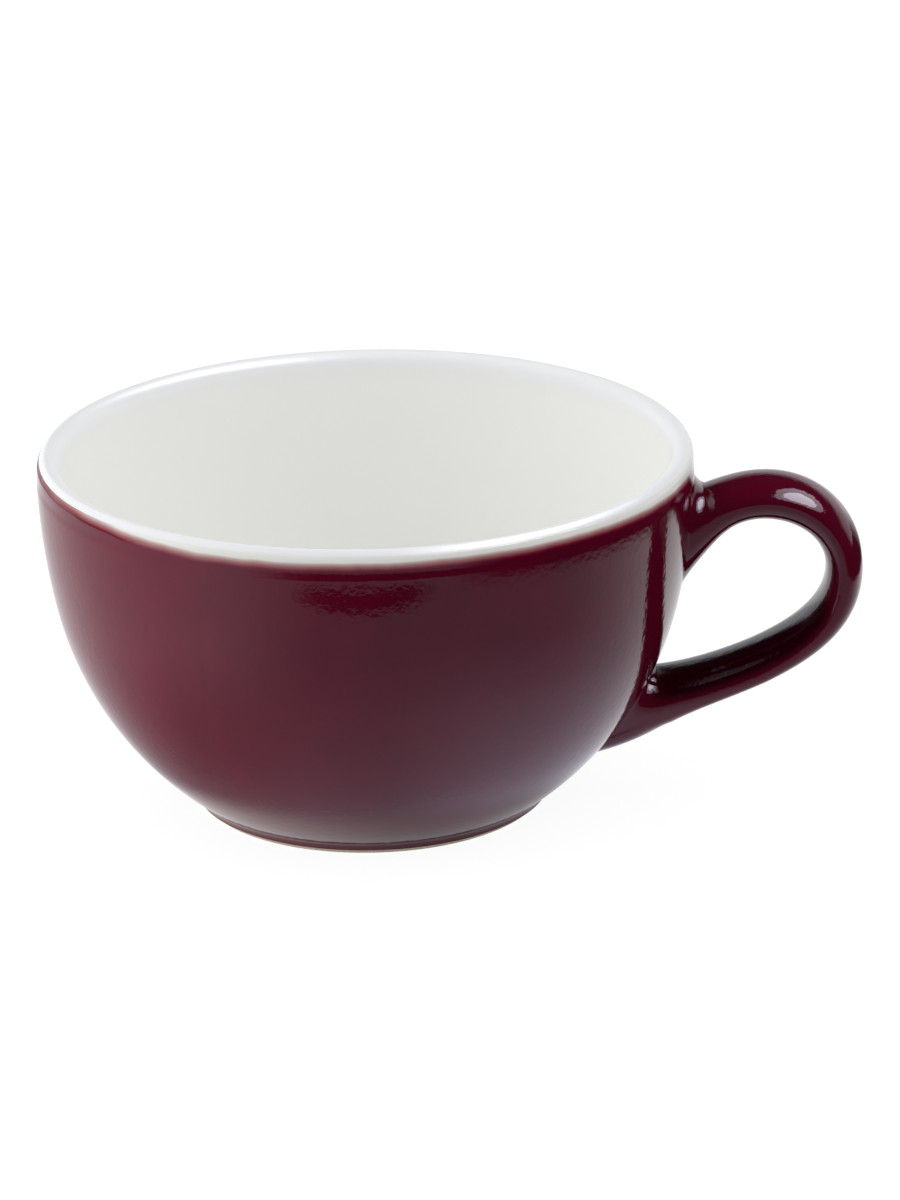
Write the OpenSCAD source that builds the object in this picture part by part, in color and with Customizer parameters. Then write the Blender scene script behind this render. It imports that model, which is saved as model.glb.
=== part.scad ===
// Wide tea cup: a turned bowl on a foot ring, a cast strap handle stuck on with slip,
// a white glaze inside and over the lip, and a coloured glaze outside.
// The origin is on the table at the middle of the foot, +Z is up and +X points to the handle.

/* [Bowl] */
// Outside diameter just below the lip, over the glaze
rim_diameter = 100; // [90:0.5:112]
// Height from the table to the top of the lip
cup_height = 56.2; // [52:0.2:64]
// Thickness of the wall, over both glazes
wall_thickness = 3.4; // [3:0.1:4.5]
// Radius of the upper arc of the outside, which stands upright below the lip
upper_arc_radius = 103; // [85:1:150]
// Height where the upper arc of the outside runs into the lower one
arc_joint_height = 33; // [28:0.5:38]
// Height of the inside floor above the table
floor_height = 6.4; // [5.4:0.1:8]
// Radius of the rounding between the floor and the wall
floor_rounding = 16; // [8:0.5:20]

/* [Lip] */
// Radius of the edge of the lip
lip_edge_radius = 0.7; // [0.6:0.05:1]
// Lean of the outside where it runs into the edge of the lip, in degrees
lip_lean = 14; // [10:1:20]

/* [Foot] */
// Outside diameter of the foot ring
foot_diameter = 54.4; // [48:0.2:60]
// Height where the bowl springs from the foot ring
foot_height = 1.5; // [1.4:0.1:3]
// Width of the foot ring
foot_width = 4; // [2.5:0.1:6]
// Depth of the recess inside the foot ring
recess_depth = 2.4; // [1.6:0.1:3]
// Radius of the hollow rounding between the foot and the bowl
foot_fillet = 1.3; // [0.5:0.1:1.4]
// Chamfer on the edges of the foot
foot_chamfer = 0.6; // [0.2:0.05:0.7]

/* [Glaze] */
// Thickness of every coat of glaze
glaze_thickness = 0.3; // [0.15:0.05:0.5]
// Depth of the white edge below the top of the lip
white_edge_depth = 1.2; // [0.8:0.1:2]
// Height of bare clay at the foot, wiped clean before firing
bare_foot_height = 0.75; // [0.7:0.05:1.2]

/* [Strap handle] */
// Reach of the handle beyond the lip
handle_reach = 25.6; // [22:0.1:34]
// Drop from the top of the lip to the outermost point of the handle
handle_mid_drop = 19.9; // [18:0.1:23]
// Width of the strap
strap_width = 13; // [9:0.5:16]
// Thickness of the strap at its outermost point
strap_thickness = 5.7; // [4:0.1:7]
// Squareness of the outer side of the strap, where 2 is an ellipse
outer_squareness = 2.2; // [2:0.1:4]
// Squareness of the flatter side of the strap, which faces the bowl
inner_squareness = 3.5; // [2:0.1:5]
// Thickness of the strap where it meets the wall at the top
upper_root_thickness = 11; // [8:0.1:12]
// Thickness of the strap where it meets the wall at the bottom
lower_root_thickness = 12.6; // [8:0.1:13]
// Suddenness with which the strap swells towards its roots
root_swell = 11; // [6:0.5:14]

/* [Handle curve] */
// Drop from the top of the lip to where the middle line of the strap leaves the wall
upper_root_drop = 13; // [12:0.1:16]
// Climb of the middle line where it leaves the wall at the top, in degrees
upper_root_climb = 43; // [30:1:50]
// Height where the middle line meets the wall at the bottom
lower_root_height = 13.8; // [12.5:0.1:17]
// Climb of the middle line where it leaves the wall at the bottom, in degrees
lower_root_climb = 17.5; // [8:0.5:26]
// Straight run of the curve at the upper root
upper_root_run = 13.8; // [9:0.2:17]
// Upright run of the curve above its outermost point
upper_mid_run = 11.2; // [8:0.2:14]
// Upright run of the curve below its outermost point
lower_mid_run = 11.2; // [6:0.2:13]
// Straight run of the curve at the lower root
lower_root_run = 21.5; // [15:0.5:26]

/* [Slip joints] */
// Thickness of the slip between the handle and the wall
slip_thickness = 0.6; // [0.3:0.05:0.9]
// Height of the rounded edge of the slip on the wall
slip_edge = 0.15; // [0.05:0.05:0.3]
// Spread of the joints beside the strap
side_spread = 2; // [1:0.1:3]
// Spread of the upper joint above the strap
upper_top_spread = 3.4; // [1:0.1:4]
// Spread of the upper joint below the strap
upper_bottom_spread = 5.6; // [2:0.1:7]
// Spread of the lower joint above the strap
lower_top_spread = 1.8; // [1:0.1:3]
// Spread of the lower joint below the strap
lower_bottom_spread = 1.7; // [1:0.1:3.4]
// Fullness of the joints, from 0 for a hollow rounding to 1 for a straight bevel
joint_fullness = 0.7; // [0:0.05:0.8]
// Fullness of the lower joint below the strap, more than 1 for a rounded chin
chin_fullness = 2.2; // [0.5:0.1:2.6]
// Share of the upper half of the handle that flares into the wall
upper_flare = 0.12; // [0.08:0.01:0.2]
// Share of the lower half of the handle that flares into the wall
lower_flare = 0.1; // [0.07:0.01:0.16]

/* [Hidden] */
$fn = 128;

clay_colour = "#e9e2d4";
slip_colour = "#ded5c4";
white_colour = "#e9e9e4";
burgundy_colour = "#44060f";

// The body is one coat smaller than the finished cup
body = -glaze_thickness;

// Bowl: the lower arc touches the upper one at the joint and ends at the foot
rim_radius = rim_diameter / 2;
foot_radius = foot_diameter / 2;
white_edge = cup_height - white_edge_depth;

// Lip: outside an inward curve, then the edge, and inside a rounding as high as both
lip_side = [cos(lip_lean), sin(lip_lean)];
lip_curve_radius = (wall_thickness - lip_edge_radius * (1 + lip_side.x - lip_side.y))
    / (1 - lip_side.x + lip_side.y);
lip_rounding = lip_edge_radius + (lip_curve_radius - lip_edge_radius) * lip_side.y;
lip_base = cup_height - lip_rounding;
lip_curve_centre = [rim_radius - lip_curve_radius, lip_base];
lip_edge_centre = lip_curve_centre + (lip_curve_radius - lip_edge_radius) * lip_side;
lip_rounding_centre = [lip_edge_centre.x, lip_base];

upper_centre = [rim_radius - upper_arc_radius, lip_base];
joint_angle = asin((lip_base - arc_joint_height) / upper_arc_radius);
joint_normal = [cos(joint_angle), -sin(joint_angle)];
joint_point = upper_centre + upper_arc_radius * joint_normal;
joint_to_foot = [foot_radius, foot_height] - joint_point;
lower_arc_radius = -(joint_to_foot * joint_to_foot) / (2 * joint_to_foot * joint_normal);
lower_centre = joint_point - lower_arc_radius * joint_normal;
base_middle = (floor_height + recess_depth) / 2;

// Hollow rounding of the foot, and the rounding of the floor inside
foot_fillet_x = foot_radius + foot_fillet - lower_centre.x;
foot_fillet_centre = lower_centre
    + [foot_fillet_x, -sqrt((lower_arc_radius + foot_fillet) ^ 2 - foot_fillet_x ^ 2)];
inner_lower_radius = lower_arc_radius - wall_thickness;
floor_drop = floor_height + floor_rounding - lower_centre.y;
floor_rounding_centre = lower_centre
    + [sqrt((inner_lower_radius - floor_rounding) ^ 2 - floor_drop ^ 2), floor_drop];

function unit(v) = v / norm(v);
function mix(a, b, s) = a + (b - a) * s;

// Height where the two arcs meet on a surface grown by a distance
function arc_split(grow) = arc_joint_height - grow * sin(joint_angle);

// Radius of the outside at a height, on a surface grown by a distance
function wall_radius(z, grow) =
    z > arc_split(grow)
    ? upper_centre.x + sqrt((upper_arc_radius + grow) ^ 2 - (z - upper_centre.y) ^ 2)
    : lower_centre.x + sqrt((lower_arc_radius + grow) ^ 2 - (z - lower_centre.y) ^ 2);

function on_wall(y, z, grow) = [sqrt(wall_radius(z, grow) ^ 2 - y ^ 2), y, z];
function outside_wall(p, grow) = norm([p.x, p.y]) > wall_radius(p.z, grow);

// Half section of everything within the outside of the cup, up to the lip
module outer_form(grow) {
    split = arc_split(grow);
    wide = rim_diameter;
    intersection() {
        translate(upper_centre) circle(r = upper_arc_radius + grow);
        translate([0, split]) square([wide, lip_base - split]);
    }
    intersection() {
        translate(lower_centre) circle(r = lower_arc_radius + grow);
        square([wide, split]);
    }
    foot_form(grow);
}

// Half section of the foot ring and its hollow rounding
module foot_form(grow) {
    edge = foot_radius + grow;
    top = foot_fillet_centre.y;
    touch = lower_centre + (lower_arc_radius + grow) * unit(foot_fillet_centre - lower_centre);
    polygon([[0, 0], [edge - foot_chamfer, 0], [edge, foot_chamfer], [edge, top], [0, top]]);
    difference() {
        polygon([[edge - foot_width, top], [edge, top], foot_fillet_centre, touch]);
        translate(foot_fillet_centre) circle(r = foot_fillet - grow);
    }
}

// Half section of the hollow that is filled with tea
module cavity(grow) {
    split = arc_split(-wall_thickness - grow);
    floor_z = floor_height + grow;
    rounding = floor_rounding - grow;
    far = 2 * rounding * unit(floor_rounding_centre - lower_centre);
    intersection() {
        translate(upper_centre) circle(r = upper_arc_radius - wall_thickness - grow);
        translate([0, split]) square([rim_radius, cup_height - split]);
    }
    difference() {
        intersection() {
            translate(lower_centre) circle(r = inner_lower_radius - grow);
            translate([0, floor_z]) square([rim_radius, split - floor_z]);
        }
        translate(floor_rounding_centre) difference() {
            polygon([[0, 0], far, [far.x, -2 * rounding], [0, -2 * rounding]]);
            circle(r = rounding);
        }
    }
}

// Half section of the recess under the base, which runs on below the table
module recess(grow) {
    edge = foot_radius - foot_width - grow;
    top = recess_depth - grow;
    polygon([[0, -foot_chamfer], [edge + 2 * foot_chamfer, -foot_chamfer], [edge, foot_chamfer],
             [edge, top - foot_chamfer], [edge - foot_chamfer, top], [0, top]]);
}

// Half section of the lip
module lip_form(grow) {
    lean_height = (lip_curve_radius + grow) * lip_side.y;
    intersection() {
        translate(lip_curve_centre) circle(r = lip_curve_radius + grow);
        translate(lip_rounding_centre - [lip_edge_radius, 0]) square([wall_thickness, lean_height]);
    }
    intersection() {
        translate(lip_rounding_centre) circle(r = lip_rounding + grow);
        translate([0, lip_base]) square([lip_edge_centre.x, cup_height]);
    }
    translate(lip_edge_centre) circle(r = lip_edge_radius + grow);
}

// Half section of the whole cup, grown by a distance everywhere but under the foot
module cup_section(grow) {
    difference() {
        outer_form(grow);
        cavity(grow);
        recess(grow);
    }
    lip_form(grow);
}

// Half section of everything nearer the axis than the middle of the wall
module inner_half() {
    outer_form(-wall_thickness / 2);
    translate([0, lip_base]) square([lip_edge_centre.x, cup_height]);
}

module coat_section() {
    difference() {
        cup_section(0);
        cup_section(body);
    }
}

// Handle: two cubic curves in the XZ plane, which meet at the outermost point
upper_root_height = cup_height - upper_root_drop;
upper_root = [wall_radius(upper_root_height, 0), upper_root_height];
lower_root = [wall_radius(lower_root_height, 0), lower_root_height];
outermost = [rim_radius + handle_reach - strap_thickness / 2, cup_height - handle_mid_drop];
upper_curve = [upper_root,
               upper_root + upper_root_run * [cos(upper_root_climb), sin(upper_root_climb)],
               outermost + [0, upper_mid_run],
               outermost];
lower_curve = [outermost,
               outermost - [0, lower_mid_run],
               lower_root + lower_root_run * [cos(lower_root_climb), sin(lower_root_climb)],
               lower_root];

function cubic(c, t) =
    c[0] * (1 - t) ^ 3 + c[1] * 3 * t * (1 - t) ^ 2 + c[2] * 3 * t ^ 2 * (1 - t) + c[3] * t ^ 3;
function cubic_slope(c, t) =
    (c[1] - c[0]) * (1 - t) ^ 2 + (c[2] - c[1]) * 2 * t * (1 - t) + (c[3] - c[2]) * t ^ 2;

// Place along the handle: 0 at the upper root, 1 at the outermost point, 2 at the lower root
function middle_line(t) = t < 1 ? cubic(upper_curve, t) : cubic(lower_curve, t - 1);
function middle_slope(t) = unit(t < 1 ? cubic_slope(upper_curve, t) : cubic_slope(lower_curve, t - 1));
function thickness(t) =
    mix(strap_thickness, t < 1 ? upper_root_thickness : lower_root_thickness, abs(t - 1) ^ root_swell);

// Sections of the strap, rounded on the outer side and flatter on the inner one
ring_sides = 24;
strap_rings = 26;
flare_rings = 5;
slip_rings = 3;
cap_rings = 5;
wall_halvings = 20;

function swell(v, squareness) = sign(v) * abs(v) ^ (2 / squareness);
function ring_angle(j) = 360 * j / ring_sides;
function strap_ring(t, grow) =
    let (p = middle_line(t),
         d = middle_slope(t),
         w = strap_width / 2 + grow,
         h = thickness(t) / 2 + grow)
    [for (j = [0 : ring_sides - 1])
        let (squareness = sin(ring_angle(j)) < 0 ? inner_squareness : outer_squareness,
             y = w * swell(cos(ring_angle(j)), squareness),
             q = h * swell(sin(ring_angle(j)), squareness))
        [p.x - q * d.y, y, p.y + q * d.x]];

// Ends of the handle: 0 is the upper root and 1 the lower one
flare_start = [upper_flare, 2 - lower_flare];
inward = [-1, 1];
outer_spread = [upper_top_spread, lower_bottom_spread];
inner_spread = [upper_bottom_spread, lower_top_spread];

// Distance along a line to the wall, by halving
function way_to_wall(p, d, grow, low, high, halvings) =
    let (half = (low + high) / 2)
    halvings == 0 ? half
    : outside_wall(p + d * half, grow)
    ? way_to_wall(p, d, grow, half, high, halvings - 1)
    : way_to_wall(p, d, grow, low, half, halvings - 1);

// Where the strap would run into the wall if it went straight on
function corner_ring(end, grow) =
    let (slope = middle_slope(flare_start[end]),
         d = inward[end] * [slope.x, 0, slope.y])
    [for (p = strap_ring(flare_start[end], grow))
        p + d * way_to_wall(p, d, grow + slip_edge, 0, rim_radius / 2, wall_halvings)];

// Outline of a joint on the wall, spread outwards from the strap
function foot_outline(end) =
    let (corners = corner_ring(end, body))
    [for (j = [0 : ring_sides - 1])
        let (c = cos(ring_angle(j)),
             s = sin(ring_angle(j)),
             spread = s > 0 ? outer_spread[end] : inner_spread[end])
        [corners[j].y + side_spread * c, corners[j].z - inward[end] * spread * s]];

outlines = [foot_outline(0), foot_outline(1)];
body_corners = [corner_ring(0, body), corner_ring(1, body)];
coat_corners = [corner_ring(0, 0), corner_ring(1, 0)];

// Fullness of a joint round the strap; only the chin under the lower one is fuller
function fullness(end, j) =
    mix(joint_fullness, end == 0 ? joint_fullness : chin_fullness, max(sin(ring_angle(j)), 0));

// Share of each flare that belongs to the handle; the slip has the rest
slip_share = [for (end = [0, 1])
    let (start = strap_ring(flare_start[end], body))
    [for (j = [0 : ring_sides - 1])
        let (p = start[j],
             full = fullness(end, j),
             hollow = 1 - full,
             stand_off = norm([p.x, p.y]) - wall_radius(p.z, body),
             depth = 2 * slip_thickness / stand_off)
        1 - depth / (full + sqrt(full ^ 2 + 2 * hollow * depth))]];

// One ring of a flare: place 0 at the strap, 1 at the slip and 2 on the wall
function flare_ring(end, place, grow) =
    let (start = strap_ring(flare_start[end], grow),
         corners = grow == 0 ? coat_corners[end] : body_corners[end])
    [for (j = [0 : ring_sides - 1])
        let (share = slip_share[end][j],
             u = place < 1 ? share * place : mix(share, 1, place - 1),
             o = outlines[end][j],
             last = on_wall(o.x, o.y, grow),
             bend = mix(corners[j], (start[j] + last) / 2, fullness(end, j)),
             p = start[j] * (1 - u) ^ 2 + bend * 2 * u * (1 - u) + last * u ^ 2)
        place == 1 ? on_wall(p.y, p.z, grow + slip_thickness) : p];

function handle_side(grow) = concat(
    [for (i = [0 : flare_rings - 1]) flare_ring(0, 1 - i / flare_rings, grow)],
    [for (i = [0 : strap_rings]) strap_ring(mix(flare_start[0], flare_start[1], i / strap_rings), grow)],
    [for (i = [1 : flare_rings]) flare_ring(1, i / flare_rings, grow)]);

function slip_side(end, grow) =
    [for (i = [0 : slip_rings]) flare_ring(end, 1 + i / slip_rings, grow)];

// Rings that close a flare with a face parallel to the wall, from the middle outwards
function cap_middle(ring) =
    let (heights = [for (p = ring) p.z])
    (max(heights) + min(heights)) / 2;
function cap(ring, grow) =
    let (z = cap_middle(ring))
    [for (i = [1 : cap_rings - 1])
        [for (p = ring) on_wall(p.y * i / cap_rings, mix(z, p.z, i / cap_rings), grow)]];
function cap_tip(ring, grow) = on_wall(0, cap_middle(ring), grow);

function reversed(list) = [for (i = [len(list) - 1 : -1 : 0]) list[i]];
function joined(lists) = [for (list = lists) each list];

// Faces of the band between two rings of points
function band(i, k) = joined(
    [for (j = [0 : ring_sides - 1])
        let (n = (j + 1) % ring_sides)
        [[i * ring_sides + j, k * ring_sides + n, i * ring_sides + n],
         [i * ring_sides + j, k * ring_sides + j, k * ring_sides + n]]]);

// Closed skin over a row of rings, with a point at either end
module skin(rings, first, last) {
    count = len(rings);
    points = concat(joined(rings), [first, last]);
    tip = count * ring_sides;
    polyhedron(points, concat(
        joined([for (i = [0 : count - 2]) band(i, i + 1)]),
        [for (j = [0 : ring_sides - 1]) [tip, j, (j + 1) % ring_sides]],
        [for (j = [0 : ring_sides - 1])
            let (base = (count - 1) * ring_sides)
            [tip + 1, base + (j + 1) % ring_sides, base + j]]));
}

// Closed tube over a row of rings that comes back to where it began
module tube(rings) {
    count = len(rings);
    polyhedron(joined(rings), joined([for (i = [0 : count - 1]) band(i, (i + 1) % count)]));
}

// Window in the coat of the bowl where a joint stands on the clay
module joint_window(end) {
    rotate([90, 0, 90]) linear_extrude(height = rim_diameter) polygon(outlines[end]);
}

module bowl() {
    color(clay_colour) rotate_extrude() cup_section(body);
}

module handle() {
    side = handle_side(body);
    face = body + slip_thickness;
    top = side[0];
    bottom = side[len(side) - 1];
    color(clay_colour)
        skin(concat(cap(top, face), side, reversed(cap(bottom, face))),
             cap_tip(top, face), cap_tip(bottom, face));
}

module slip_joint(end) {
    side = slip_side(end, body);
    face = body + slip_thickness;
    near = side[0];
    wall = side[slip_rings];
    rings = concat(cap(near, face), side, reversed(cap(wall, body)));
    tips = [cap_tip(near, face), cap_tip(wall, body)];
    color(slip_colour)
        if (end == 0) skin(reversed(rings), tips[1], tips[0]);
        else skin(rings, tips[0], tips[1]);
}

module upper_slip_joint() {
    slip_joint(0);
}

module lower_slip_joint() {
    slip_joint(1);
}

module liner_glaze() {
    color(white_colour) rotate_extrude() difference() {
        coat_section();
        difference() {
            square([rim_diameter, white_edge]);
            inner_half();
        }
        square([rim_diameter, base_middle]);
    }
}

module bowl_glaze() {
    color(burgundy_colour) difference() {
        rotate_extrude() intersection() {
            coat_section();
            difference() {
                translate([0, bare_foot_height]) square([rim_diameter, white_edge - bare_foot_height]);
                inner_half();
                square([foot_radius - foot_width / 2, base_middle]);
            }
        }
        joint_window(0);
        joint_window(1);
    }
}

module handle_glaze() {
    function whole(grow) = concat(
        reversed(slip_side(0, grow)), handle_side(grow), slip_side(1, grow));
    color(burgundy_colour) tube(concat(whole(0), reversed(whole(body))));
}

module base_glaze() {
    color(burgundy_colour) rotate_extrude() intersection() {
        coat_section();
        translate([0, bare_foot_height])
            square([foot_radius - foot_width / 2, base_middle - bare_foot_height]);
    }
}

bowl();
handle();
upper_slip_joint();
lower_slip_joint();
liner_glaze();
bowl_glaze();
handle_glaze();
base_glaze();
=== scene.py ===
import math

import bpy
from mathutils import Matrix, Vector


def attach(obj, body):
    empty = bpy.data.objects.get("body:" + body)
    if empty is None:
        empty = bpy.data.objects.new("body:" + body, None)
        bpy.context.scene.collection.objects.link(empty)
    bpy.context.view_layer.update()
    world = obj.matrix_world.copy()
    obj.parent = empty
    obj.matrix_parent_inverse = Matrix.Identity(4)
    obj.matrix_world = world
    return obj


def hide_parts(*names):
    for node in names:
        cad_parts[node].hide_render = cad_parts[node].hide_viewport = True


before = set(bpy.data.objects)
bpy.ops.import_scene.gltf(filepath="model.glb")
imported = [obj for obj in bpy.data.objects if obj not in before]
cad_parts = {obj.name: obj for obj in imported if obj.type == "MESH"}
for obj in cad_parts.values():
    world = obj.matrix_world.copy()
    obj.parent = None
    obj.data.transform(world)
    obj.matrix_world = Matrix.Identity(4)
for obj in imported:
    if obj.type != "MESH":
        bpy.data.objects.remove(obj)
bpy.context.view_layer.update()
print("frame loaded:", sorted(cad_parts))

mm = 0.001
scene = bpy.context.scene
scene.view_settings.view_transform = "Standard"


def hexColor(code):
    # sRGB hex to the linear values that the shaders take
    parts = [int(code[i:i + 2], 16) / 255 for i in (1, 3, 5)]
    linear = [c / 12.92 if c <= 0.04045 else ((c + 0.055) / 1.055) ** 2.4 for c in parts]
    return (*linear, 1.0)


def addNode(tree, kind, inputs=None, **settings):
    # one node with its settings; an input takes a plain value or the socket that feeds it
    node = tree.nodes.new(kind)
    for name, value in settings.items():
        setattr(node, name, value)
    for key, value in (inputs or {}).items():
        if isinstance(value, bpy.types.NodeSocket):
            tree.links.new(value, node.inputs[key])
        else:
            node.inputs[key].default_value = value
    return node


def newMaterial(name):
    # an empty material, its tree and the object coordinates in it
    material = bpy.data.materials.new(name)
    material.use_nodes = True
    tree = material.node_tree
    tree.nodes.clear()
    return material, tree, addNode(tree, "ShaderNodeTexCoord").outputs["Object"]


def newObject(name, data):
    piece = bpy.data.objects.new(name, data)
    scene.collection.objects.link(piece)
    return piece


# the skin that both glazes take in the kiln

skin = {
    "wave": 8.0,                # mm, length of the slow waves
    "waveDepth": 0.03,          # mm
    "peel": 1.0,                # mm, grain of the orange peel
}


def firedSkin(tree, place, peelDepth, under=None):
    # bump: orange peel on slow waves, over another bump if there is one
    wave = addNode(tree, "ShaderNodeTexNoise", {
        "Vector": place, "Scale": 1 / (skin["wave"] * mm), "Detail": 1.0})
    slow = addNode(tree, "ShaderNodeBump", {
        "Height": wave.outputs["Fac"], "Distance": skin["waveDepth"] * mm})
    if under is not None:
        tree.links.new(under, slow.inputs["Normal"])
    peel = addNode(tree, "ShaderNodeTexNoise", {
        "Vector": place, "Scale": 1 / (skin["peel"] * mm), "Detail": 2.0})
    fine = addNode(tree, "ShaderNodeBump", {
        "Height": peel.outputs["Fac"], "Distance": peelDepth * mm,
        "Normal": slow.outputs["Normal"]})
    return fine.outputs["Normal"]


# Burgundy glaze: a clear dark red glass over pale clay. It is thin and pink at the lip and a full
# wine red below. Painted shade darkens it from the lit left side towards the handle, and nearly to
# black on top of the handle's lower arm. Like every dipped coat it is a little uneven, and it
# shines with fine orange peel.
redCoat = {
    "tones": ((0.0, "#f1f1ec"), (0.16, "#caaba8"), (0.32, "#a77473"), (0.5, "#863c48"),
              (0.6, "#74122b"), (0.69, "#600722"), (0.8, "#51041d"),
              (1.0, "#24010a")),        # by depth, from a bare to a full coat; the darkest tones, past the full coat, are painted shade
    "full": (0.615, 0.665),     # depth of the dipped coat, which is a little uneven
    "mottle": 11.0,             # mm, size of its patches
    "mottleSpan": (0.3, 0.7),   # the part of the noise that they use
    "sideShadeDepth": 0.16,         # painted shade: how much darker the coat is made towards the handle, away from the lit left side
    "thicker": (-30.0, 6.0),    # mm along X, where that painted shade grows
    "armShadeDepth": 0.22,             # painted shade: how much darker it is made on top of the handle's lower arm
    "outward": (42.0, 46.0),    # mm along X, where that begins
    "lowArm": (36.0, 30.0),     # mm, the height below which that shade is painted
    "upward": (0.1, 0.5),       # upward part of the surface normal there
    "thinTop": 54.7,            # mm, no colour above
    "fullBelow": 53.1,          # mm, full coat below
    "edgeWander": 0.5,          # mm, how far the colour line wanders
    "wanderLength": 6.0,        # mm
    "edgeRise": 1.5,            # mm, how far it rises at the side away from the handle
    "rise": (-22.0, -49.0),     # mm along X
    "edgeDip": 0.45,            # mm, how far it sinks beside the handle
    "dip": (36.0, 49.0),        # mm along X
    "ledge": 0.6,               # of the rise, how far the coat's edge stands out there
    "peelDepth": 0.028,         # mm
    "roughness": 0.06,
    "ior": 1.5,
}
burgundyGlaze, tree, place = newMaterial("burgundyGlaze")
axes = addNode(tree, "ShaderNodeSeparateXYZ", {"Vector": place}).outputs
normal = addNode(tree, "ShaderNodeTexCoord").outputs["Normal"]
facing = addNode(tree, "ShaderNodeSeparateXYZ", {"Vector": normal}).outputs
part = {}
for name, axis, most in (("rise", "X", redCoat["edgeRise"] * mm),
                         ("dip", "X", redCoat["edgeDip"] * mm),
                         ("thicker", "X", redCoat["sideShadeDepth"]),
                         ("outward", "X", redCoat["armShadeDepth"]),
                         ("lowArm", "Z", 1.0)):
    part[name] = addNode(tree, "ShaderNodeMapRange", {
        "Value": axes[axis], "From Min": redCoat[name][0] * mm, "From Max": redCoat[name][1] * mm,
        "To Max": most}).outputs["Result"]
part["upward"] = addNode(tree, "ShaderNodeMapRange", {
    "Value": facing["Z"], "From Min": redCoat["upward"][0],
    "From Max": redCoat["upward"][1]}).outputs["Result"]

# the colour line: it wanders, rises on one side and sinks on the other
slant = addNode(tree, "ShaderNodeMath", {0: part["dip"], 1: part["rise"]}, operation="SUBTRACT")
height = addNode(tree, "ShaderNodeMath", {0: axes["Z"], 1: slant.outputs[0]}, operation="ADD")
wander = addNode(tree, "ShaderNodeTexNoise", {
    "Vector": place, "Scale": 1 / (redCoat["wanderLength"] * mm), "Detail": 2.0})
shifted = addNode(tree, "ShaderNodeMath", {
    0: wander.outputs["Fac"], 1: redCoat["edgeWander"] * mm, 2: height.outputs[0]},
    operation="MULTIPLY_ADD")
middleShift = redCoat["edgeWander"] / 2
part["coat"] = addNode(tree, "ShaderNodeMapRange", {
    "Value": shifted.outputs[0], "From Min": (redCoat["thinTop"] + middleShift) * mm,
    "From Max": (redCoat["fullBelow"] + middleShift) * mm}).outputs["Result"]

# how deep the coat lies, with painted shade added towards the handle and on top of the lower arm
mottle = addNode(tree, "ShaderNodeTexNoise", {
    "Vector": place, "Scale": 1 / (redCoat["mottle"] * mm), "Detail": 4.0})
part["uneven"] = addNode(tree, "ShaderNodeMapRange", {
    "Value": mottle.outputs["Fac"], "From Min": redCoat["mottleSpan"][0],
    "From Max": redCoat["mottleSpan"][1], "To Min": redCoat["full"][0],
    "To Max": redCoat["full"][1]}).outputs["Result"]
# these sums add the painted shade: towards the handle, and on the upward faces of the lower arm
for name, first, second, way in (("unevenAndSideShade", "uneven", "thicker", "ADD"),
                                 ("laid", "unevenAndSideShade", "coat", "MULTIPLY"),
                                 ("onTop", "outward", "upward", "MULTIPLY"),
                                 ("armShade", "onTop", "lowArm", "MULTIPLY"),
                                 ("depth", "laid", "armShade", "ADD"),
                                 ("ledge", "coat", "rise", "MULTIPLY")):
    part[name] = addNode(tree, "ShaderNodeMath", {0: part[first], 1: part[second]},
                         operation=way).outputs[0]

# a thin coat lets the pale ground show through, a full one hardly any of it; painted shade takes it
# darker still
colour = addNode(tree, "ShaderNodeValToRGB", {"Fac": part["depth"]})
stops = colour.color_ramp.elements
for i, (spot, code) in enumerate(redCoat["tones"]):
    stop = stops[i] if i < 2 else stops.new(spot)
    stop.position, stop.color = spot, hexColor(code)
# where the colour line rises above the step in the form, bump helps the coat's edge
edge = addNode(tree, "ShaderNodeBump", {"Height": part["ledge"], "Distance": redCoat["ledge"]})
shader = addNode(tree, "ShaderNodeBsdfPrincipled", {
    "Base Color": colour.outputs["Color"], "Roughness": redCoat["roughness"],
    "IOR": redCoat["ior"],
    "Normal": firedSkin(tree, place, redCoat["peelDepth"], edge.outputs["Normal"])})
addNode(tree, "ShaderNodeOutputMaterial", {"Surface": shader.outputs["BSDF"]})

# White glaze: softly glossy, a little warm where it lies thick inside and cooler over the lip.
whiteCoat = {
    "warm": "#f4f4f1",          # thick inside
    "cool": "#f1f2f4",          # thin over the lip
    "thin": (51.0, 55.5),       # mm, from thick to thin
    "peelDepth": 0.008,         # mm
    "roughness": 0.3,
    "ior": 1.5,
}
whiteGlaze, tree, place = newMaterial("whiteGlaze")
height = addNode(tree, "ShaderNodeSeparateXYZ", {"Vector": place}).outputs["Z"]
thin = addNode(tree, "ShaderNodeMapRange", {
    "Value": height, "From Min": whiteCoat["thin"][0] * mm, "From Max": whiteCoat["thin"][1] * mm})
colour = addNode(tree, "ShaderNodeMix", {
    0: thin.outputs["Result"], 6: hexColor(whiteCoat["warm"]), 7: hexColor(whiteCoat["cool"])},
    data_type="RGBA")
shader = addNode(tree, "ShaderNodeBsdfPrincipled", {
    "Base Color": colour.outputs[2], "Roughness": whiteCoat["roughness"], "IOR": whiteCoat["ior"],
    "Normal": firedSkin(tree, place, whiteCoat["peelDepth"])})
addNode(tree, "ShaderNodeOutputMaterial", {"Surface": shader.outputs["BSDF"]})

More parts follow.
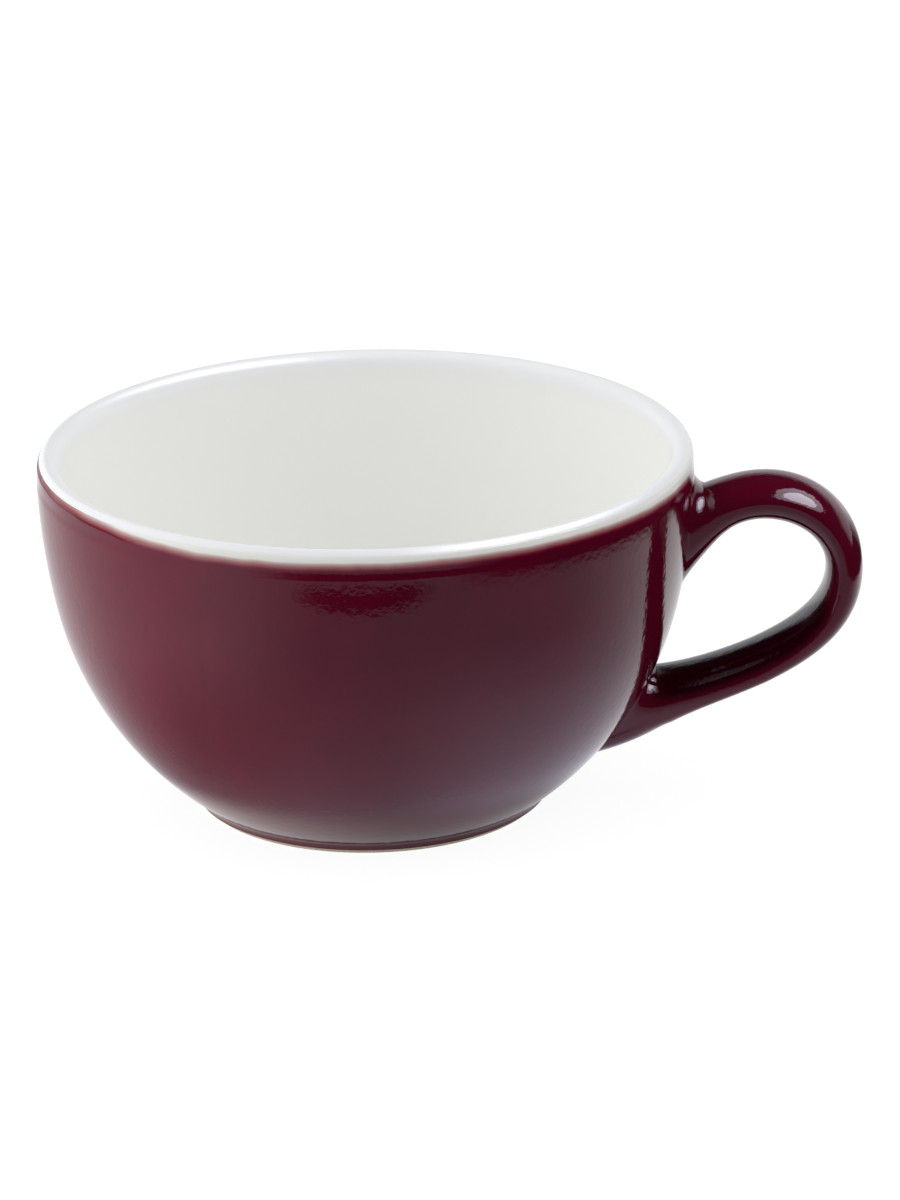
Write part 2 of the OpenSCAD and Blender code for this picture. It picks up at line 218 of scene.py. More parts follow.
# Bare clay at the wiped foot: matt cream biscuit with fine grit.
biscuit = {
    "pale": "#e9e0cf",
    "dark": "#d6c9b2",
    "grit": 0.5,                # mm, drawn coarser than it is so that it shows
    "gritDepth": 0.03,          # mm
    "roughness": 0.75,
}
bareClay, tree, place = newMaterial("bareClay")
grit = addNode(tree, "ShaderNodeTexNoise", {
    "Vector": place, "Scale": 1 / (biscuit["grit"] * mm), "Detail": 4.0})
colour = addNode(tree, "ShaderNodeMix", {
    0: grit.outputs["Fac"], 6: hexColor(biscuit["pale"]), 7: hexColor(biscuit["dark"])},
    data_type="RGBA")
rough = addNode(tree, "ShaderNodeBump", {
    "Height": grit.outputs["Fac"], "Distance": biscuit["gritDepth"] * mm})
shader = addNode(tree, "ShaderNodeBsdfPrincipled", {
    "Base Color": colour.outputs[2], "Roughness": biscuit["roughness"],
    "Normal": rough.outputs["Normal"]})
addNode(tree, "ShaderNodeOutputMaterial", {"Surface": shader.outputs["BSDF"]})
print("materials made")


# the turned forms: bowl, liner and coats

cup = {
    "rim": 50.0,                # mm, outside radius below the lip
    "height": 56.2,
    "wall": 3.4,
    "lipEdge": 0.7,             # radius on top of the lip
    "lipLean": 60.0,            # degrees, where the outer round goes over into that edge
    "upperArc": 103.0,
    "arcJoint": 33.0,           # height at which the wall's two arcs meet
    "floor": 6.4,
    "floorRounding": 16.0,
    "foot": 27.2,               # outside radius of the foot ring
    "footHeight": 1.5,
    "footWidth": 4.0,
    "recess": 2.4,
    "footFillet": 2.2,
    "footChamfer": 0.6,
    "coat": 0.3,
    "redTop": 55.4,             # the red coat begins here, with no colour yet
    "redStep": 0.12,            # how much the coat stands out where it is full
    "stepLow": 51.8,
    "stepHigh": 52.9,
    "bareFoot": 0.75,           # the coats end here
    "lipSteps": 16,
    "wallSteps": (60, 64),      # upper and lower arc
    "filletSteps": 14,
    "insideSteps": (24, 32, 40, 32),    # lip, upper and lower arc, floor rounding
    "floorSteps": 12,
    "turnSteps": 256,
    "weld": 0.0005,
}


def heading(degrees):
    return Vector((math.cos(math.radians(degrees)), math.sin(math.radians(degrees))))


lean = heading(cup["lipLean"])
lipCurve = (cup["wall"] - cup["lipEdge"] * (1 + lean.x - lean.y)) / (1 - lean.x + lean.y)
lipRounding = cup["lipEdge"] + (lipCurve - cup["lipEdge"]) * lean.y
lipBase = cup["height"] - lipRounding
lipCurveCentre = Vector((cup["rim"] - lipCurve, lipBase))
lipEdgeCentre = lipCurveCentre + (lipCurve - cup["lipEdge"]) * lean
upperCentre = Vector((cup["rim"] - cup["upperArc"], lipBase))
jointAngle = math.asin((lipBase - cup["arcJoint"]) / cup["upperArc"])
jointNormal = Vector((math.cos(jointAngle), -math.sin(jointAngle)))
jointPoint = upperCentre + cup["upperArc"] * jointNormal
toFoot = Vector((cup["foot"], cup["footHeight"])) - jointPoint
lowerArc = -toFoot.dot(toFoot) / (2 * toFoot.dot(jointNormal))
lowerCentre = jointPoint - lowerArc * jointNormal
split = -math.degrees(jointAngle)


def arcPoints(centre, radius, start, end, steps):
    # points on an arc, angles in degrees
    turns = [math.radians(start + (end - start) * i / steps) for i in range(steps + 1)]
    return [centre + radius * Vector((math.cos(a), math.sin(a))) for a in turns]


def angleOf(vector):
    return math.degrees(math.atan2(vector.y, vector.x))


def wallRadius(z, grow=0.0):
    # outside of the bowl at a height
    if z > cup["arcJoint"] - grow * math.sin(jointAngle):
        return upperCentre.x + math.sqrt((cup["upperArc"] + grow) ** 2 - (z - upperCentre.y) ** 2)
    return lowerCentre.x + math.sqrt((lowerArc + grow) ** 2 - (z - lowerCentre.y) ** 2)


def outerLine(grow):
    # from the top of the lip down the outside to the foot's flat ring
    fillet = cup["footFillet"]
    across = cup["foot"] + fillet - lowerCentre.x
    down = math.sqrt((lowerArc + fillet) ** 2 - across ** 2)
    filletCentre = lowerCentre + Vector((across, -down))
    touch = angleOf(filletCentre - lowerCentre)
    lowEnd = math.degrees(math.asin((cup["footChamfer"] - filletCentre.y) / (fillet - grow)))
    steps, (upperSteps, lowerSteps) = cup["lipSteps"], cup["wallSteps"]
    line = arcPoints(lipEdgeCentre, cup["lipEdge"] + grow, 90, cup["lipLean"], steps)
    line += arcPoints(lipCurveCentre, lipCurve + grow, cup["lipLean"], 0, steps)[1:]
    line += arcPoints(upperCentre, cup["upperArc"] + grow, 0, split, upperSteps)[1:]
    line += arcPoints(lowerCentre, lowerArc + grow, split, touch, lowerSteps)[1:]
    line += arcPoints(filletCentre, fillet - grow, touch + 180, 180 - lowEnd,
                      cup["filletSteps"])[1:]
    return line + [Vector((cup["foot"] + grow - cup["footChamfer"], 0))]


def innerLine(grow):
    # from the top of the lip down the inside to the middle of the floor
    deep = cup["wall"] + grow
    rounding = cup["floorRounding"]
    drop = cup["floor"] + rounding - lowerCentre.y
    across = math.sqrt((lowerArc - cup["wall"] - rounding) ** 2 - drop ** 2)
    roundCentre = lowerCentre + Vector((across, drop))
    touch = angleOf(roundCentre - lowerCentre)
    lipSteps, upperSteps, lowerSteps, roundSteps = cup["insideSteps"]
    line = arcPoints(Vector((lipEdgeCentre.x, lipBase)), lipRounding + grow, 90, 180, lipSteps)
    line += arcPoints(upperCentre, cup["upperArc"] - deep, 0, split, upperSteps)[1:]
    line += arcPoints(lowerCentre, lowerArc - deep, split, touch, lowerSteps)[1:]
    line += arcPoints(roundCentre, rounding - grow, touch, -90, roundSteps)[1:]
    inward = [i / cup["floorSteps"] for i in range(cup["floorSteps"] - 1, -1, -1)]
    return line + [Vector((roundCentre.x * share, cup["floor"] + grow)) for share in inward]


def recessLine(grow):
    # from the foot's flat ring up into the recess and to the axis
    edge = cup["foot"] - cup["footWidth"] - grow
    top = cup["recess"] - grow
    chamfer = cup["footChamfer"]
    return [Vector((edge + chamfer, 0)), Vector((edge, chamfer)), Vector((edge, top - chamfer)),
            Vector((edge - chamfer, top)), Vector((edge / 2, top)), Vector((0, top))]


def stepIn(p):
    # above the full red coat the outside stands back by the coat's step
    share = min(max((p.y - cup["stepLow"]) / (cup["stepHigh"] - cup["stepLow"]), 0), 1)
    over = min(max((p.x - lipEdgeCentre.x) / cup["lipEdge"], 0), 1)
    return Vector((p.x - cup["redStep"] * over * share * share * (3 - 2 * share), p.y))


def cutLine(line, z, below):
    # the part of a line below or above a height, cut exactly there
    kept = []
    for a, b in zip(line, line[1:]):
        keepA, keepB = (a.y <= z) == below, (b.y <= z) == below
        if keepA and not kept:
            kept.append(a)
        if keepA != keepB:
            kept.append(a + (b - a) * ((z - a.y) / (b.y - a.y)))
        if keepB:
            kept.append(b)
    return kept


def buildTurnedTree():
    # turns a profile, a row of points in the XZ plane, about Z
    tree = bpy.data.node_groups.new("turnedForm", "GeometryNodeTree")
    for name, kind in (("Profile", "Geometry"), ("Turn Steps", "Int"), ("Weld", "Float"),
                       ("Glaze", "Material")):
        tree.interface.new_socket(name, in_out="INPUT", socket_type="NodeSocket" + kind)
    tree.interface.new_socket("Form", in_out="OUTPUT", socket_type="NodeSocketGeometry")
    given = addNode(tree, "NodeGroupInput").outputs
    size = addNode(tree, "GeometryNodeAttributeDomainSize", {"Geometry": given["Profile"]})
    rows = size.outputs["Point Count"]
    columns = addNode(tree, "ShaderNodeMath", {0: given["Turn Steps"], 1: 1.0}, operation="ADD")
    grid = addNode(tree, "GeometryNodeMeshGrid", {"Vertices X": columns.outputs[0],
                                                  "Vertices Y": rows})
    # the grid's points run along the profile first, then on to the next column
    index = addNode(tree, "GeometryNodeInputIndex").outputs[0]
    row = addNode(tree, "ShaderNodeMath", {0: index, 1: rows}, operation="MODULO")
    ratio = addNode(tree, "ShaderNodeMath", {0: index, 1: rows}, operation="DIVIDE")
    column = addNode(tree, "ShaderNodeMath", {0: ratio.outputs[0]}, operation="FLOOR")
    spot = addNode(tree, "GeometryNodeInputPosition")
    point = addNode(tree, "GeometryNodeSampleIndex", {
        "Geometry": given["Profile"], "Value": spot.outputs[0], "Index": row.outputs[0]},
        data_type="FLOAT_VECTOR", domain="POINT")
    parts = addNode(tree, "ShaderNodeSeparateXYZ", {"Vector": point.outputs["Value"]}).outputs
    # one full turn, clockwise, so that the faces point outwards
    share = addNode(tree, "ShaderNodeMath", {0: column.outputs[0], 1: given["Turn Steps"]},
                    operation="DIVIDE")
    angle = addNode(tree, "ShaderNodeMath", {0: share.outputs[0], 1: -2 * math.pi},
                    operation="MULTIPLY")
    sides = {}
    for axis, way in (("X", "COSINE"), ("Y", "SINE")):
        wave = addNode(tree, "ShaderNodeMath", {0: angle.outputs[0]}, operation=way)
        sides[axis] = addNode(tree, "ShaderNodeMath", {0: parts["X"], 1: wave.outputs[0]},
                              operation="MULTIPLY").outputs[0]
    turned = addNode(tree, "ShaderNodeCombineXYZ", {**sides, "Z": parts["Z"]})
    placed = addNode(tree, "GeometryNodeSetPosition", {
        "Geometry": grid.outputs["Mesh"], "Position": turned.outputs["Vector"]})
    welded = addNode(tree, "GeometryNodeMergeByDistance", {
        "Geometry": placed.outputs["Geometry"], "Distance": given["Weld"]})
    smooth = addNode(tree, "GeometryNodeSetShadeSmooth", {"Geometry": welded.outputs["Geometry"]})
    plain = addNode(tree, "GeometryNodeRealizeInstances", {"Geometry": smooth.outputs["Geometry"]})
    glazed = addNode(tree, "GeometryNodeSetMaterial", {
        "Geometry": plain.outputs["Geometry"], "Material": given["Glaze"]})
    addNode(tree, "NodeGroupOutput", {"Form": glazed.outputs["Geometry"]})
    return tree


turnedTree = buildTurnedTree()


def turnPiece(name, line, glaze):
    # line is the section in mm, listed so that the faces point outwards
    mesh = bpy.data.meshes.new(name + "Profile")
    points = [(p.x * mm, 0, p.y * mm) for p in line]
    mesh.from_pydata(points, [(i, i + 1) for i in range(len(line) - 1)], [])
    profile = newObject(name + "Profile", mesh)
    modifier = profile.modifiers.new("turnedForm", "NODES")
    modifier.node_group = turnedTree
    inputs = [s for s in turnedTree.interface.items_tree if s.in_out == "INPUT"]
    sockets = {s.name: s.identifier for s in inputs}
    modifier[sockets["Turn Steps"]] = cup["turnSteps"]
    modifier[sockets["Weld"]] = cup["weld"] * mm
    modifier[sockets["Glaze"]] = glaze
    evaluated = profile.evaluated_get(bpy.context.evaluated_depsgraph_get())
    form = bpy.data.meshes.new_from_object(evaluated)
    form.name = name
    profile.modifiers.remove(modifier)
    bpy.data.objects.remove(profile)
    return newObject(name, form)


body = -cup["coat"]     # from the glaze's surface in to the clay's
outside, inside = [stepIn(p) for p in outerLine(0)], innerLine(0)[::-1]
outsideBody, insideBody = outerLine(body), innerLine(body)[::-1]

whiteOver = inside + cutLine(outside, cup["redTop"], False)[1:]
whiteUnder = insideBody + cutLine(outsideBody, cup["redTop"], False)[1:]
linerGlaze = turnPiece("linerGlaze", whiteOver + whiteUnder[::-1], whiteGlaze)

redOver = cutLine(cutLine(outside, cup["redTop"], True), cup["bareFoot"], False)
redUnder = cutLine(cutLine(outsideBody, cup["redTop"], True), cup["bareFoot"], False)
bowlGlaze = turnPiece("bowlGlaze", redOver + redUnder[::-1] + redOver[:1], burgundyGlaze)

clayBowl = turnPiece("clayBowl", insideBody + outsideBody[1:] + recessLine(body), bareClay)

baseOver = cutLine(recessLine(0), cup["bareFoot"], False)
baseUnder = cutLine(recessLine(body), cup["bareFoot"], False)
baseGlaze = turnPiece("baseGlaze", baseUnder[::-1] + baseOver, burgundyGlaze)
print("turned forms made")


# the strap handle; pairs are for the upper and the lower arm or root

strap = {
    "reach": 75.595,                    # mm, from the axis to the outside
    "midHeight": 36.3,
    "width": 13.0,
    "thickness": 5.7,
    "outerSquareness": 2.2,             # 2 is an ellipse
    "innerSquareness": 2.3,
    "rootSquareness": 0.8,              # added on the inner side towards the roots
    "upperFill": 0.7,                   # how much fuller the inner side of the upper arm is
    "lowWaist": 0.2,                    # of the thickness, how much lower the lower arm is widest
    "waistRun": 0.6,                    # of the lower arm, over which this grows
    "rootThickness": (11.0, 12.6),
    "swell": 11.0,                      # the higher, the closer to the root it thickens
    "rootHeight": (43.2, 13.8),
    "rootClimb": (43.0, 17.5),          # degrees
    "rootRun": (13.8, 21.5),
    "midRun": (11.2, 11.2),
    "flareStart": (0.12, 1.9),          # 0 at the upper root, 1 outermost, 2 at the lower root
    "slipEdge": 0.15,
    "slipShare": 0.7,                   # of a flare, where the clay ends and the slip begins
    "sideSpread": 2.0,
    "outerSpread": (3.4, 1.7),
    "innerSpread": (5.6, 1.8),
    "fullness": 0.7,
    "sideFullness": 0.05,
    "chin": (0.7, 2.2),                 # fullness on the outer side
    "hug": 0.2,                         # how far a flare keeps the strap's direction
    "sides": 96,
    "rings": 150,
    "flareRings": 28,
    "halvings": 40,                     # to find the wall
}

upperRoot, lowerRoot = (Vector((wallRadius(z), z)) for z in strap["rootHeight"])
outermost = Vector((strap["reach"] - strap["thickness"] / 2, strap["midHeight"]))
curves = (
    (upperRoot, upperRoot + strap["rootRun"][0] * heading(strap["rootClimb"][0]),
     outermost + Vector((0, strap["midRun"][0])), outermost),
    (outermost, outermost - Vector((0, strap["midRun"][1])),
     lowerRoot + strap["rootRun"][1] * heading(strap["rootClimb"][1]), lowerRoot))


def bezier(c, t):
    u = 1 - t
    return c[0] * u ** 3 + c[1] * 3 * t * u ** 2 + c[2] * 3 * t ** 2 * u + c[3] * t ** 3


def bezierSlope(c, t):
    u = 1 - t
    slope = (c[1] - c[0]) * u ** 2 + (c[2] - c[1]) * 2 * t * u + (c[3] - c[2]) * t ** 2
    return slope.normalized()


def rounded(v, square):
    return math.copysign(abs(v) ** (2 / square), v)


ringAngles = [2 * math.pi * j / strap["sides"] for j in range(strap["sides"])]


def strapRing(t, grow=0.0):
    # one section of the strap, square to its middle line
    arm = int(t >= 1)
    p, d = bezier(curves[arm], t - arm), bezierSlope(curves[arm], t - arm)
    thicker = strap["rootThickness"][arm] - strap["thickness"]
    thick = strap["thickness"] + thicker * abs(t - 1) ** strap["swell"]
    fill = strap["upperFill"] * math.sin(math.pi * t) ** 2 * (1 - arm)
    waist = strap["lowWaist"] * thick * arm * min((t - 1) / strap["waistRun"], 1) ** 2
    innerSquare = strap["innerSquareness"] + strap["rootSquareness"] * (t - 1) ** 4
    ring = []
    for a in ringAngles:
        inner = a > math.pi
        square = innerSquare if inner else strap["outerSquareness"]
        deep = thick / 2 + grow + (fill + waist if inner else -waist)
        y = (strap["width"] / 2 + grow) * rounded(math.cos(a), square)
        q = waist + deep * rounded(math.sin(a), square)
        ring.append(Vector((p.x - q * d.y, y, p.y + q * d.x)))
    return ring


def onWall(y, z, grow=0.0):
    return Vector((math.sqrt(wallRadius(z, grow) ** 2 - y * y), y, z))


def runToWall(p, way, grow):
    # halving along a line until it meets the wall
    low, high = 0.0, cup["rim"] / 2
    for step in range(strap["halvings"]):
        half = (low + high) / 2
        q = p + way * half
        if math.hypot(q.x, q.y) > wallRadius(q.z, grow):
            low = half
        else:
            high = half
    return p + way * low


def flareRings(end, grow=0.0):
    # rings from the strap out to the wall, with the strap's own direction at their start
    t, sign = strap["flareStart"][end], (-1, 1)[end]
    slope = bezierSlope(curves[end], t - end) * sign
    way = Vector((slope.x, 0, slope.y))
    rings = [[] for i in range(strap["flareRings"] + 1)]
    for p, bodyPoint, a in zip(strapRing(t, grow), strapRing(t, body), ringAngles):
        corner = runToWall(p, way, grow + strap["slipEdge"])
        bodyCorner = runToWall(bodyPoint, way, body + strap["slipEdge"])
        spread = strap["outerSpread" if math.sin(a) > 0 else "innerSpread"][end]
        foot = onWall(bodyCorner.y + strap["sideSpread"] * math.cos(a),
                      bodyCorner.z - sign * spread * math.sin(a), grow)
        full = strap["fullness"]
        full += (strap["chin"][end] - strap["fullness"]) * max(math.sin(a), 0)
        full += (strap["sideFullness"] - strap["fullness"]) * math.cos(a) ** 4
        # a curve through this middle, nearer to the corner where it is less full
        centre = (p + foot) / 2
        centre = centre + (corner - centre) * (1 - full) / 2
        first = p + (corner - p) * strap["hug"]
        second = (centre * 8 - p - first * 3 - foot) / 3
        for i, ring in enumerate(rings):
            ring.append(bezier((p, first, second, foot), i / strap["flareRings"]))
    return rings


def skinRings(name, rings, glaze):
    # quads between the rings and a fan at either end
    sides = len(rings[0])
    points = [p * mm for ring in rings for p in ring]
    faces = []
    for i in range(len(rings) - 1):
        here, after = i * sides, (i + 1) * sides
        for j in range(sides):
            n = (j + 1) % sides
            faces.append((here + j, here + n, after + n, after + j))
    for first, order in ((0, -1), ((len(rings) - 1) * sides, 1)):
        tip = len(points)
        points.append(sum(points[first:first + sides], Vector()) / sides)
        for j in range(sides):
            faces.append((first + j, first + (j + 1) % sides, tip)[::order])
    mesh = bpy.data.meshes.new(name)
    mesh.from_pydata(points, [], faces)
    mesh.materials.append(glaze)
    mesh.shade_smooth()
    return newObject(name, mesh)


def handleRings(grow, flareShare):
    # from one root to the other, each flare as far towards the wall as its share
    kept = int(strap["flareRings"] * flareShare) + 1
    start, end = strap["flareStart"]
    stations = [start + (end - start) * i / strap["rings"] for i in range(1, strap["rings"])]
    straight = [strapRing(t, grow) for t in stations]
    return flareRings(0, grow)[:kept][::-1] + straight + flareRings(1, grow)[:kept]


clayHandle = skinRings("clayHandle", handleRings(body, strap["slipShare"]), bareClay)
slipStart = int(strap["flareRings"] * strap["slipShare"])
upperSlip = skinRings("upperSlip", flareRings(0, body)[slipStart:][::-1], bareClay)
lowerSlip = skinRings("lowerSlip", flareRings(1, body)[slipStart:], bareClay)
rings = handleRings(0.0, 1.0)
# the ends go a little way into the bowl's coat, so that no edge stands open
sunk = [[onWall(p.y, p.z, body / 2) for p in ring] for ring in (rings[0], rings[-1])]
handleGlaze = skinRings("handleGlaze", sunk[:1] + rings + sunk[1:], burgundyGlaze)
print("handle made")

for piece, slotName, node in ((linerGlaze, "white_glaze", "liner_glaze"),
                              (bowlGlaze, "burgundy_glaze", "bowl_glaze"),
                              (clayBowl, "clay_body", "bowl"),
                              (baseGlaze, "burgundy_glaze", "base_glaze"),
                              (clayHandle, "clay_body", "handle"),
                              (upperSlip, "slip", "upper_slip_joint"),
                              (lowerSlip, "slip", "lower_slip_joint"),
                              (handleGlaze, "burgundy_glaze", "handle_glaze")):
    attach(piece, "root")
    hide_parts(node)
print("pieces put on the frame")


# the pale sheet under the cup; the glaze mirrors its tones by place, which are painted reflections
# of light and shade

sheet = {
    "half": 3.0,                    # m, half its side
    "shade": (0.004, -0.151),       # m, a painted dark spot in front of the cup, for the dark reflection on the bowl's front
    "shadeSize": (0.052, 0.0145),
    # painted light and shade, seen only in the glaze: darker in front and to the right of the foot,
    # pale behind and to the left
    "tones": {
        "frontFar": "#9fa3b4",
        "frontNear": "#bcbfcf",
        "leftFar": "#e2e5f2",
        "leftNear": "#9d9fa8",
        "rightNear": "#e2e6fa",
        "footLeft": "#ebeaea",
        "footRight": "#b6b6ba",
        "behind": "#fbfcff",
        "dark": "#1c1c20",
        "paperFar": "#808080",      # painted bounce light: how the sheet lights the cup, brighter close to the foot
        "paperNear": "#fafafa",
    },
    # soft steps: what is read, where it starts and where it is full;
    # away is in m from the axis, x and y are the direction from it, fromShade is in sizes
    # of the dark spot
    "steps": {
        "near": ("away", 0.11, 0.042),
        "close": ("away", 0.14, 0.05),
        "atFoot": ("away", 0.037, 0.03),
        "far": ("away", 0.215, 0.26),
        "farRight": ("away", 0.15, 0.18),
        "toBack": ("y", -0.62, 0.56),
        "toFront": ("y", -0.25, -0.7),
        "toLeft": ("x", -0.15, -0.75),
        "notLeft": ("toLeft", 1.0, 0.0),
        "toRight": ("x", 0.0, 0.7),
        "wideRight": ("x", 0.4, 0.75),
        "footSide": ("x", 0.5, -0.6),
        "inShade": ("fromShade", 1.3, 0.7),
    },
    "seenGlow": 0.92,               # to the camera it is white, but for the cup's shadow
    "seenPaper": "#6f6f6f",
}
paleSheet, tree, place = newMaterial("paleSheet")
way = addNode(tree, "ShaderNodeVectorMath", {0: place}, operation="NORMALIZE")
axes = addNode(tree, "ShaderNodeSeparateXYZ", {"Vector": way.outputs["Vector"]}).outputs
shadePlace = addNode(tree, "ShaderNodeMapping", {
    "Vector": place, "Location": (*sheet["shade"], 0), "Scale": (*sheet["shadeSize"], 1)},
    vector_type="TEXTURE")
part = {name: hexColor(code) for name, code in sheet["tones"].items()}
part.update(x=axes["X"], y=axes["Y"])
for name, vector in (("away", place), ("fromShade", shadePlace.outputs["Vector"])):
    part[name] = addNode(tree, "ShaderNodeVectorMath", {0: vector},
                         operation="LENGTH").outputs["Value"]
for name, (value, start, full) in sheet["steps"].items():
    part[name] = addNode(tree, "ShaderNodeMapRange", {
        "Value": part[value], "From Min": start, "From Max": full},
        interpolation_type="SMOOTHSTEP").outputs["Result"]
for name, first, second in (("nearRight", "toRight", "near"),
                            ("inFront", "toFront", "notLeft"),
                            ("farFront", "far", "inFront"),
                            ("rightEnd", "farRight", "wideRight")):
    part[name] = addNode(tree, "ShaderNodeMath", {0: part[first], 1: part[second]},
                         operation="MULTIPLY").outputs[0]
# layers, each laid over the one before where its share is
for name, share, under, over in (("left", "near", "leftFar", "leftNear"),
                                 ("foot", "footSide", "footRight", "footLeft"),
                                 ("mirrored", "near", "frontFar", "frontNear"),
                                 ("mirrored", "nearRight", "mirrored", "rightNear"),
                                 ("mirrored", "toLeft", "mirrored", "left"),
                                 ("mirrored", "atFoot", "mirrored", "foot"),
                                 ("mirrored", "toBack", "mirrored", "behind"),
                                 ("mirrored", "inShade", "mirrored", "dark"),
                                 ("mirrored", "farFront", "mirrored", "dark"),
                                 ("mirrored", "rightEnd", "mirrored", "dark"),
                                 ("paper", "close", "paperFar", "paperNear"),
                                 ("paper", "farFront", "paper", "dark")):
    part[name] = addNode(tree, "ShaderNodeMix", {
        0: part[share], 6: part[under], 7: part[over]}, data_type="RGBA").outputs[2]
# glossy rays see the painted reflection tones as glow, other rays the paper's painted bounce light;
# the camera sees white
path = addNode(tree, "ShaderNodeLightPath").outputs
glow = addNode(tree, "ShaderNodeEmission", {"Color": part["mirrored"]})
paper = addNode(tree, "ShaderNodeBsdfDiffuse", {"Color": part["paper"]})
white = addNode(tree, "ShaderNodeEmission", {"Color": hexColor("#ffffff"),
                                             "Strength": sheet["seenGlow"]})
faint = addNode(tree, "ShaderNodeBsdfDiffuse", {"Color": hexColor(sheet["seenPaper"])})
seen = addNode(tree, "ShaderNodeAddShader", {0: white.outputs[0], 1: faint.outputs[0]})
bounced = addNode(tree, "ShaderNodeMixShader", {
    0: path["Is Glossy Ray"], 1: paper.outputs[0], 2: glow.outputs[0]})
shown = addNode(tree, "ShaderNodeMixShader", {
    0: path["Is Camera Ray"], 1: bounced.outputs[0], 2: seen.outputs[0]})
addNode(tree, "ShaderNodeOutputMaterial", {"Surface": shown.outputs[0]})

sheetMesh = bpy.data.meshes.new("paleSheet")
corners = [(x * sheet["half"], y * sheet["half"], 0)
           for x, y in ((-1, -1), (1, -1), (1, 1), (-1, 1))]
sheetMesh.from_pydata(corners, [], [(0, 1, 2, 3)])
sheetMesh.materials.append(paleSheet)
newObject("paleSheet", sheetMesh)
print("sheet laid")


# the dome: soft light, brighter from above and from either side

dome = {
    "top": (-0.2, -0.1, 0.97),      # the way it is brightest
    "tone": "#ffffff",
    "height": (0.7, 1.2),           # strength from low to high
    "sides": (0.45, 1.75),          # share of it in front, behind and above, and to either side
    "band": "#dfe0e6",              # what the glaze mirrors low behind the cup
    "dark": "#1c1c20",              # and elsewhere
    "steps": {
        "toTop": ("facing", 0.0, 1.1),
        "toBack": ("y", 0.2, 0.5),
        "low": ("z", 0.38, 0.2),
    },
}
world = bpy.data.worlds.new("studioWorld")
scene.world = world
world.use_nodes = True
tree = world.node_tree
tree.nodes.clear()
way = addNode(tree, "ShaderNodeTexCoord").outputs["Generated"]
axes = addNode(tree, "ShaderNodeSeparateXYZ", {"Vector": way}).outputs
part = {"y": axes["Y"], "z": axes["Z"]}
part["facing"] = addNode(tree, "ShaderNodeVectorMath", {0: way, 1: dome["top"]},
                         operation="DOT_PRODUCT").outputs["Value"]
part["sideways"] = addNode(tree, "ShaderNodeMath", {0: axes["X"]}, operation="ABSOLUTE").outputs[0]
for name, (value, start, full) in dome["steps"].items():
    part[name] = addNode(tree, "ShaderNodeMapRange", {
        "Value": part[value], "From Min": start, "From Max": full},
        interpolation_type="SMOOTHSTEP").outputs["Result"]
for name, value in (("height", "toTop"), ("sides", "sideways")):
    part[name] = addNode(tree, "ShaderNodeMapRange", {
        "Value": part[value], "To Min": dome[name][0],
        "To Max": dome[name][1]}).outputs["Result"]
for name, first, second in (("band", "toBack", "low"), ("strength", "height", "sides")):
    part[name] = addNode(tree, "ShaderNodeMath", {0: part[first], 1: part[second]},
                         operation="MULTIPLY").outputs[0]
mirrored = addNode(tree, "ShaderNodeMix", {
    0: part["band"], 6: hexColor(dome["dark"]), 7: hexColor(dome["band"])}, data_type="RGBA")
path = addNode(tree, "ShaderNodeLightPath").outputs
ambient = addNode(tree, "ShaderNodeBackground", {"Color": hexColor(dome["tone"]),
                                                 "Strength": part["strength"]})
reflected = addNode(tree, "ShaderNodeBackground", {"Color": mirrored.outputs[2]})
white = addNode(tree, "ShaderNodeBackground", {"Color": hexColor("#ffffff")})
bounced = addNode(tree, "ShaderNodeMixShader", {
    0: path["Is Glossy Ray"], 1: ambient.outputs[0], 2: reflected.outputs[0]})
shown = addNode(tree, "ShaderNodeMixShader", {
    0: path["Is Camera Ray"], 1: bounced.outputs[0], 2: white.outputs[0]})
addNode(tree, "ShaderNodeOutputWorld", {"Surface": shown.outputs[0]})


# lamps: a low one from the left that lights, and two above the handle that only show as highlights

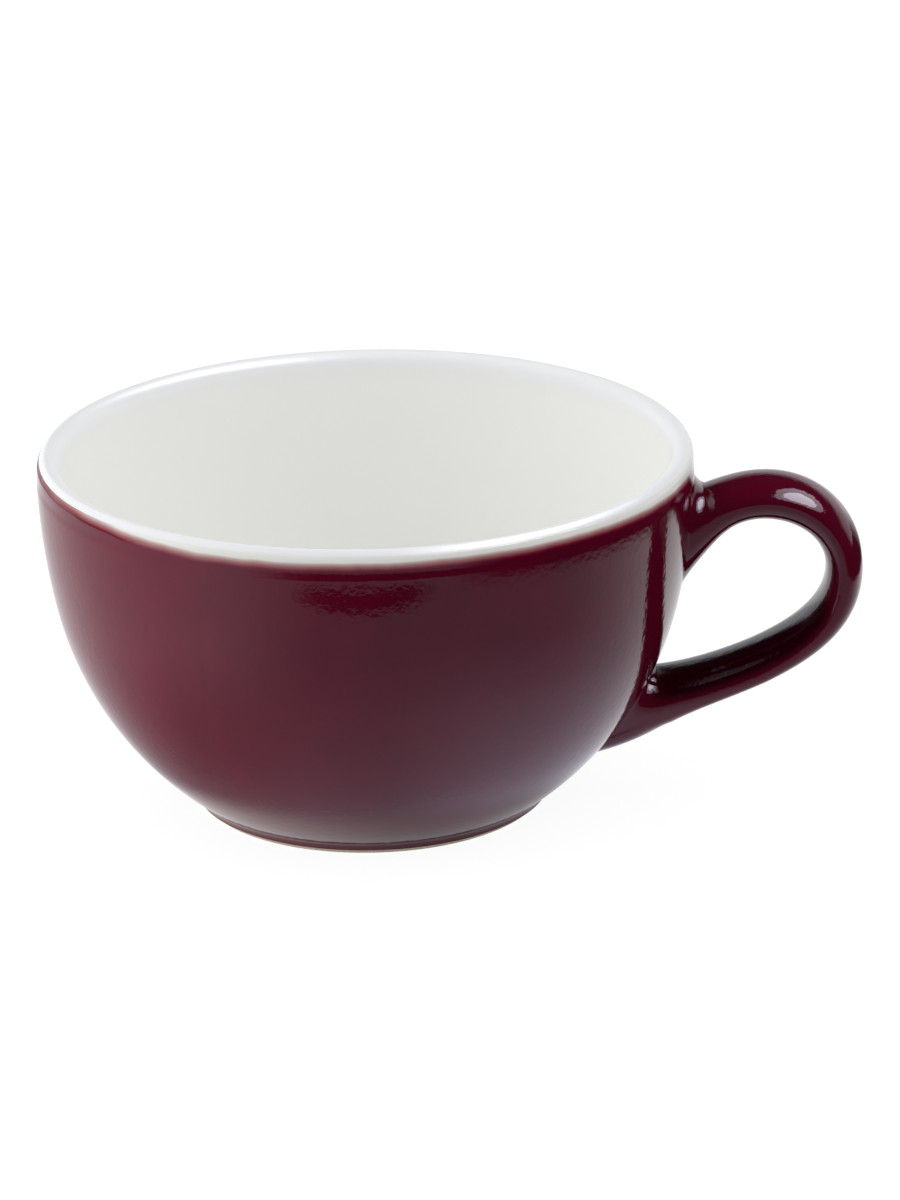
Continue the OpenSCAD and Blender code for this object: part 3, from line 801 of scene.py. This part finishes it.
lamps = {
    "keyLight": {"spot": (-0.52, -0.03, 0.03), "aim": (0, 0, 0.03), "size": (0.5, 0.05),
                 "power": 0.85, "tone": "#fffdfa", "mirrored": False},
    "topLight": {"spot": (0.53, -0.04, 0.89), "aim": (0.066, 0, 0.049), "size": (1.0, 0.5),
                 "power": 9.0, "tone": "#f4f4ff", "mirrored": True},
    "topHalo": {"spot": (0.535, -0.04, 0.9), "aim": (0.066, 0, 0.049), "size": (1.8, 0.8),
                "power": 11.0, "tone": "#efeeff", "mirrored": True},
}
for name, look in lamps.items():
    lamp = bpy.data.lights.new(name, "AREA")
    lamp.shape = "ELLIPSE"
    lamp.size, lamp.size_y = look["size"]
    lamp.energy = look["power"]
    lamp.color = hexColor(look["tone"])[:3]
    softbox = newObject(name, lamp)
    softbox.location = look["spot"]
    softbox.visible_diffuse, softbox.visible_glossy = not look["mirrored"], look["mirrored"]
    aim = Vector(look["aim"]) - Vector(look["spot"])
    softbox.rotation_euler = aim.to_track_quat("-Z", "Y").to_euler()
print("studio lit")


# camera at the photograph's angle

view = {
    "distance": 850.0,          # mm
    "azimuth": 2.0,             # degrees, towards the handle
    "elevation": 19.818,
    "roll": 1.054,
    "lens": 166.0,
    "aim": (12.45, 2.644),      # mm, right and up of the middle of the cup
    "middle": 28.0,
    "clipStart": 10.0,
}
tilt, roll = math.radians(view["elevation"]), math.radians(view["roll"])
right = Vector((1, 0, 0))
up = Vector((0, math.sin(tilt), math.cos(tilt)))
toward = Vector((0, -math.cos(tilt), math.sin(tilt)))
spot = Vector((0, 0, view["middle"])) + right * view["aim"][0] + up * view["aim"][1]
spot += toward * view["distance"]
turned = Matrix((right * math.cos(roll) - up * math.sin(roll),
                 right * math.sin(roll) + up * math.cos(roll), toward)).transposed().to_4x4()
turned.translation = spot * mm
cameraData = bpy.data.cameras.new("photoCamera")
cameraData.lens = view["lens"]
cameraData.clip_start = view["clipStart"] * mm
camera = newObject("photoCamera", cameraData)
camera.matrix_world = Matrix.Rotation(math.radians(view["azimuth"]), 4, "Z") @ turned
scene.camera = camera
print("camera set")
